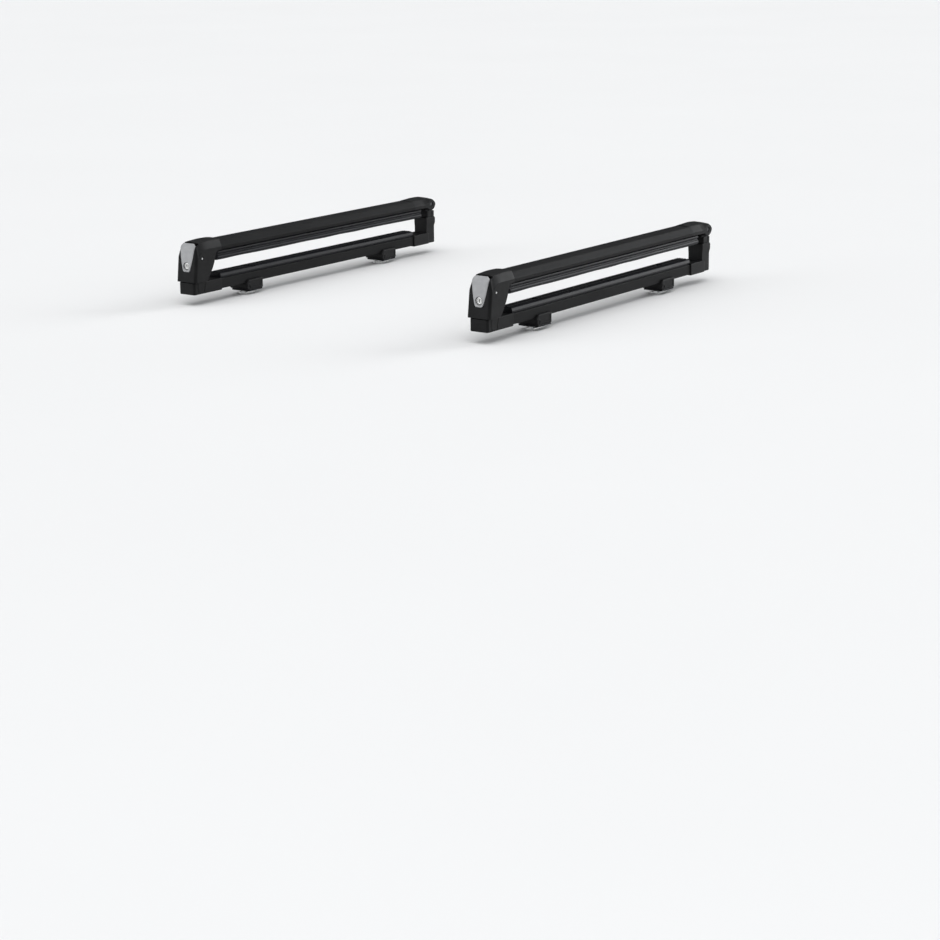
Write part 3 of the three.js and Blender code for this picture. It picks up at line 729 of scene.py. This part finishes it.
class Surface:
    """A procedural material: each method adds one layer of detail to its shader."""

    def __init__(self, name, roughness, metallic=0.0, **sockets):
        self.material = bpy.data.materials.new(name)
        self.material.use_nodes = True
        self.nodes, self.links = self.material.node_tree.nodes, self.material.node_tree.links
        self.shader = self.nodes["Principled BSDF"]
        self.shader.inputs["Roughness"].default_value = roughness
        self.shader.inputs["Metallic"].default_value = metallic
        for socket, value in sockets.items():
            self.shader.inputs[socket.replace("_", " ")].default_value = value
        self.place = self.nodes.new("ShaderNodeTexCoord").outputs["Object"]

    def noise(self, size, stretch=(1, 1, 1), detail=3.0, roughness=0.5):
        """A noise with patches about size millimetres across, drawn out along an axis by stretch."""
        mapping = self.nodes.new("ShaderNodeMapping")
        mapping.inputs["Scale"].default_value = [1 / s for s in stretch]
        self.links.new(self.place, mapping.inputs["Vector"])
        noise = self.nodes.new("ShaderNodeTexNoise")
        noise.inputs["Scale"].default_value = 1 / (size * MM)
        noise.inputs["Detail"].default_value = detail
        noise.inputs["Roughness"].default_value = roughness
        self.links.new(mapping.outputs["Vector"], noise.inputs["Vector"])
        return noise.outputs["Fac"]

    def spread(self, value, low, high, from_low=0.3, from_high=0.7):
        """A value's range moved to low..high."""
        spread = self.nodes.new("ShaderNodeMapRange")
        spread.inputs["From Min"].default_value = from_low
        spread.inputs["From Max"].default_value = from_high
        spread.inputs["To Min"].default_value = low
        spread.inputs["To Max"].default_value = high
        self.links.new(value, spread.inputs["Value"])
        return spread.outputs["Result"]

    def colours(self, value, dark, light):
        """The base colour, from dark to light as the value goes from 0.3 to 0.7."""
        ramp = self.nodes.new("ShaderNodeValToRGB")
        ramp.color_ramp.elements[0].position = 0.3
        ramp.color_ramp.elements[1].position = 0.7
        ramp.color_ramp.elements[0].color = (*dark, 1)
        ramp.color_ramp.elements[1].color = (*light, 1)
        self.links.new(value, ramp.inputs["Fac"])
        self.colour = ramp.outputs["Color"]
        self.links.new(self.colour, self.shader.inputs["Base Color"])

    def rub(self, light, width, amount):
        """Edges rubbed lighter, where the surface's normal differs from that of its rounded edges."""
        bevel = self.nodes.new("ShaderNodeBevel")
        bevel.inputs["Radius"].default_value = width * MM
        geometry = self.nodes.new("ShaderNodeNewGeometry")
        dot = self.nodes.new("ShaderNodeVectorMath")
        dot.operation = "DOT_PRODUCT"
        self.links.new(bevel.outputs["Normal"], dot.inputs[0])
        self.links.new(geometry.outputs["Normal"], dot.inputs[1])
        edge = self.spread(dot.outputs["Value"], amount, 0.0, 0.86, 0.99)
        mix = self.nodes.new("ShaderNodeMix")
        mix.data_type = "RGBA"
        mix.inputs["B"].default_value = (*light, 1)
        self.links.new(edge, mix.inputs["Factor"])
        self.links.new(self.colour, mix.inputs["A"])
        self.links.new(mix.outputs["Result"], self.shader.inputs["Base Color"])

    def roughnesses(self, value, low, high):
        self.links.new(self.spread(value, low, high), self.shader.inputs["Roughness"])

    def bumps(self, *layers):
        """Relief from (value, depth in millimetres) layers."""
        normal = None
        for value, depth in layers:
            bump = self.nodes.new("ShaderNodeBump")
            bump.inputs["Strength"].default_value = 1.0
            bump.inputs["Distance"].default_value = depth * MM
            self.links.new(value, bump.inputs["Height"])
            if normal:
                self.links.new(normal, bump.inputs["Normal"])
            normal = bump.outputs["Normal"]
        self.links.new(normal, self.shader.inputs["Normal"])


def anodised_aluminium():
    """Black anodised extrusion, with fine die lines along its length."""
    surface = Surface("anodised_aluminium", 0.42, metallic=0.1, Specular_IOR_Level=0.05)
    lines = surface.noise(0.6, stretch=(1, 90, 1), detail=2)
    surface.colours(surface.noise(40, stretch=(1, 4, 1)),
                    (0.0105, 0.0107, 0.011), (0.015, 0.0152, 0.0156))
    surface.roughnesses(lines, 0.42, 0.52)
    surface.bumps((lines, 0.008), (surface.noise(0.25), 0.004))
    return surface.material


def moulded_plastic():
    """Glass-filled black plastic with a fine spark-eroded grain."""
    surface = Surface("moulded_plastic", 0.5, Specular_IOR_Level=0.12)
    surface.colours(surface.noise(26, detail=4), (0.006, 0.0061, 0.0064), (0.009, 0.0091, 0.0095))
    surface.rub((0.03, 0.0305, 0.032), width=0.7, amount=0.6)
    surface.roughnesses(surface.noise(14, detail=4), 0.42, 0.53)
    surface.bumps((surface.noise(0.55, detail=3, roughness=0.6), 0.03), (surface.noise(30), 0.12))
    return surface.material


def soft_rubber():
    """EPDM rubber with a soft shine, a bluish bloom and faint extrusion lines."""
    surface = Surface("soft_rubber", 0.3, Specular_IOR_Level=0.08, Sheen_Weight=0.02,
                      Sheen_Roughness=0.5)
    bloom = surface.noise(22, stretch=(1, 2.5, 1), detail=5)
    surface.colours(bloom, (0.007, 0.0073, 0.009), (0.012, 0.0124, 0.015))
    surface.roughnesses(bloom, 0.25, 0.36)
    lines = surface.noise(1.1, stretch=(1, 70, 1), detail=2)
    surface.bumps((lines, 0.03), (surface.noise(0.4), 0.012),
                  (surface.noise(18, stretch=(1, 2, 1)), 0.25))
    return surface.material


def painted_button():
    """Light grey satin paint on plastic."""
    surface = Surface("painted_button", 0.38, Coat_Weight=0.15, Coat_Roughness=0.25)
    surface.colours(surface.noise(9, detail=4), (0.28, 0.283, 0.29), (0.32, 0.323, 0.33))
    surface.rub((0.5, 0.5, 0.51), width=0.6, amount=0.5)
    surface.roughnesses(surface.noise(5, detail=4), 0.33, 0.44)
    surface.bumps((surface.noise(0.4), 0.01), (surface.noise(16), 0.05))
    return surface.material


def metal(name, dark, light, smooth, rough, patch, grain=0.01):
    """A plated or coated metal with patches, in millimetres, of slightly different colour and shine."""
    surface = Surface(name, rough, metallic=1.0)
    patches = surface.noise(patch, detail=5)
    surface.colours(patches, dark, light)
    surface.roughnesses(surface.noise(patch * 0.6, detail=5), smooth, rough)
    surface.bumps((surface.noise(0.3), grain), (surface.noise(2.5), 2 * grain))
    return surface.material


MATERIALS = {
    "profile": anodised_aluminium(),
    "casing": moulded_plastic(),
    "rubber": soft_rubber(),
    "button": painted_button(),
    "lock": metal("satin_nickel", (0.56, 0.56, 0.55), (0.66, 0.66, 0.65),
                  smooth=0.22, rough=0.34, patch=3, grain=0.006),
    "steel": metal("zinc_plated_steel", (0.45, 0.46, 0.47), (0.62, 0.62, 0.60),
                   smooth=0.26, rough=0.42, patch=5),
    # on the hinge axle this dark colour is partly painted shade for the recess round the axle's end
    "black_steel": metal("blackened_steel", (0.045, 0.046, 0.05), (0.075, 0.077, 0.082),
                         smooth=0.35, rough=0.5, patch=6, grain=0.02),
}


# ---- placing the pieces on both carriers ----

def finished(made, name, material):
    """The object with smooth shading, its normals following its large faces, and its material."""
    made.name = made.data.name = name
    for polygon in made.data.polygons:
        polygon.use_smooth = True
    made.data.materials.clear()
    made.data.materials.append(MATERIALS[material])
    made.data.set_sharp_from_angle(angle=math.radians(42))
    weighted = made.modifiers.new("normals", "WEIGHTED_NORMAL")
    weighted.keep_sharp = True
    weighted.weight = 60
    return made


def body_name(prefix, body):
    """The base is shared by both carriers; every other body belongs to one of them."""
    return body if body == "base" else f"{prefix}_{body}"


def add(name, made, material, body, node, across=None):
    """Places a shaped piece on both carriers.

    It rides on a body. With across, (other body, start, end), it is left on no body, its placement baked
    into its mesh; the other body, start and end are not used.
    """
    for prefix in CARRIERS:
        origin = carrier_origin(prefix)
        piece = bpy.data.objects.new(name, made.data.copy())
        bpy.context.scene.collection.objects.link(piece)
        piece.data.transform(Matrix.Translation(origin) @ Matrix.Scale(MM, 4))
        finished(piece, f"{prefix}_{name}", material)
        rider = body_name(prefix, body)
        if across:
            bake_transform(piece)
        else:
            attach(piece, rider)
        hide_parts(f"{prefix}_{node}")
    bpy.data.objects.remove(made)


def add_everything():
    add("upper_extrusion", upper_profile(), "profile", "arm", "upper_profile")
    add("lower_extrusion", lower_profile(), "profile", "base", "lower_profile")
    add("upper_cushion", upper_rubber(), "rubber", "arm", "upper_rubber")
    add("lower_cushion", lower_rubber(), "rubber", "base", "lower_rubber")
    add("latch_hood", latch_housing(), "casing", "arm", "latch_housing")
    add("release_button", latch_button(), "button", "latch", "latch_button")
    add("key_cylinder", lock_cylinder(), "lock", "lock", "lock_cylinder")
    add("pivot_pin", crosswise_pin("latch_pin"), "steel", "arm", "latch_pin")
    add("near_end_cap", latch_post(), "casing", "base", "latch_post")
    add("strike_pin", crosswise_pin("striker_bar"), "steel", "base", "striker_bar")
    add("hinge_hood", hinge_cap(), "casing", "arm", "hinge_cap")
    add("hinge_column", hinge_tower(), "casing", "base", "hinge_tower")
    add("lifting_link", lift_link(), "casing", "lift", "lift_link")
    # Blackened steel, partly a real finish and partly painted shade: the dark pin stands in for the
    # shade inside its recess in the hinge hood
    add("hinge_axle", crosswise_pin("hinge_pin", 0.8, 1.2), "black_steel", "lift", "hinge_pin")
    add("lift_stop_screw", lift_screw(), "steel", "base", "lift_screw")
    for place in PLACES:
        add(f"saddle_{place}", foot_block(place), "casing", "base", f"foot_{place}")
        add(f"sole_{place}", foot_pad(place), "rubber", "base", f"foot_pad_{place}")
        add(f"clamp_bolt_{place}", clamp_screw(place), "steel", "base", f"clamp_screw_{place}")
        add(f"channel_nut_{place}", t_nut(place), "steel", "base", f"t_nut_{place}")
    low, high = span("lift_spring")
    y = middle("lift_spring").y
    spring = coil("z", 0, y, low.z, high.z, radius=4.6, wire=0.7, turns=7)
    add("lift_coil", spring, "steel", "lift", "lift_spring",
        across=("base", (0, y, low.z), (0, y, high.z)))
    low, high = span("latch_spring")
    z = middle("latch_spring").z
    spring = coil("y", 0, z, low.y, high.y, radius=3.4, wire=0.6, turns=6)
    add("latch_coil", spring, "steel", "latch", "latch_spring",
        across=("arm", (0, high.y, z), (0, low.y, z)))


def finish_cad_nodes():
    """The levers behind the button keep their CAD shape, with rounded edges."""
    for prefix in CARRIERS:
        for node in ("latch_hook", "lock_cam"):
            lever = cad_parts[f"{prefix}_{node}"]
            lever.data.materials.clear()
            lever.data.materials.append(MATERIALS["black_steel"])
            bevel = lever.modifiers.new("edges", "BEVEL")
            bevel.width = 0.4 * MM
            bevel.segments = 2
            bevel.limit_method = "ANGLE"
            bevel.harden_normals = True


# ---- studio ----

def add_floor():
    mesh = bpy.data.meshes.new("floor")
    reach = 60
    corners = [(-reach, -reach, 0), (reach, -reach, 0), (reach, reach, 0), (-reach, reach, 0)]
    mesh.from_pydata(corners, [], [(0, 1, 2, 3)])
    floor = bpy.data.objects.new("floor", mesh)
    bpy.context.scene.collection.objects.link(floor)
    paint = Surface("pale_floor", 0.7, Specular_IOR_Level=0.2)
    paint.colours(paint.noise(900), (0.785, 0.785, 0.785), (0.795, 0.795, 0.795))
    mesh.materials.append(paint.material)


def add_sky():
    """A dome that lights from overhead, with a soft box behind the object and a weaker one in
    front; seen directly it is a plain pale backdrop."""
    world = bpy.data.worlds.new("studio")
    world.use_nodes = True
    nodes, links = world.node_tree.nodes, world.node_tree.links
    direction = nodes.new("ShaderNodeTexCoord").outputs["Generated"]

    def glow(towards, start, end, low, high):
        """A brightness from low to high, as the direction comes closer to the middle of the glow.

        start and end are the cosines of the angles from the middle where it begins and is full.
        """
        dot = nodes.new("ShaderNodeVectorMath")
        dot.operation = "DOT_PRODUCT"
        dot.inputs[1].default_value = Vector(towards).normalized()
        links.new(direction, dot.inputs[0])
        brightness = nodes.new("ShaderNodeMapRange")
        brightness.interpolation_type = "SMOOTHSTEP"
        for socket, value in {"From Min": start, "From Max": end, "To Min": low, "To Max": high}.items():
            brightness.inputs[socket].default_value = value
        links.new(dot.outputs["Value"], brightness.inputs["Value"])
        return brightness.outputs["Result"]

    total = nodes.new("ShaderNodeMath")
    links.new(glow((0, 0, 1), 0.2, 0.95, 0.06, 0.85), total.inputs[0])
    boxes = nodes.new("ShaderNodeMath")
    links.new(glow((0.45, 0.85, 0.28), 0.92, 0.985, 0, 6), boxes.inputs[0])
    links.new(glow((-0.57, -0.8, 0.14), 0.85, 0.985, 0, 2.4), boxes.inputs[1])
    links.new(boxes.outputs["Value"], total.inputs[1])
    light = nodes["Background"]
    light.inputs["Color"].default_value = (0.97, 0.985, 1, 1)
    links.new(total.outputs["Value"], light.inputs["Strength"])
    backdrop = nodes.new("ShaderNodeBackground")
    backdrop.inputs["Color"].default_value = (0.89, 0.9, 0.91, 1)
    seen = nodes.new("ShaderNodeMixShader")
    links.new(nodes.new("ShaderNodeLightPath").outputs["Is Camera Ray"], seen.inputs["Fac"])
    links.new(light.outputs["Background"], seen.inputs[1])
    links.new(backdrop.outputs["Background"], seen.inputs[2])
    links.new(seen.outputs["Shader"], nodes["World Output"].inputs["Surface"])
    bpy.context.scene.world = world


def add_studio():
    add_floor()
    add_sky()
    sun = bpy.data.lights.new("key", "SUN")
    sun.energy = 1.5
    sun.angle = math.radians(50)
    key = bpy.data.objects.new("key", sun)
    key.rotation_euler = Vector((-0.25, 0.7, -1.5)).to_track_quat("-Z", "Y").to_euler()
    bpy.context.scene.collection.objects.link(key)
    bpy.context.scene.view_settings.view_transform = "Standard"


def add_camera():
    """The photograph's view: from beside the latch ends, looking down and across both carriers."""
    place = Vector((2.6801, -3.6479, 0.8129))
    heading, tilt, roll = math.radians(35.88), math.radians(14.62), math.radians(-0.65)
    data = bpy.data.cameras.new("camera")
    data.sensor_width = 36
    data.lens = 87.56
    data.clip_end = 200
    camera = bpy.data.objects.new("camera", data)
    turn = Matrix.Rotation(heading, 4, "Z") @ Matrix.Rotation(math.pi / 2 - tilt, 4, "X")
    camera.matrix_world = Matrix.Translation(place) @ turn @ Matrix.Rotation(roll, 4, "Z")
    bpy.context.scene.collection.objects.link(camera)
    bpy.context.scene.camera = camera


add_everything()
finish_cad_nodes()
add_studio()
add_camera()
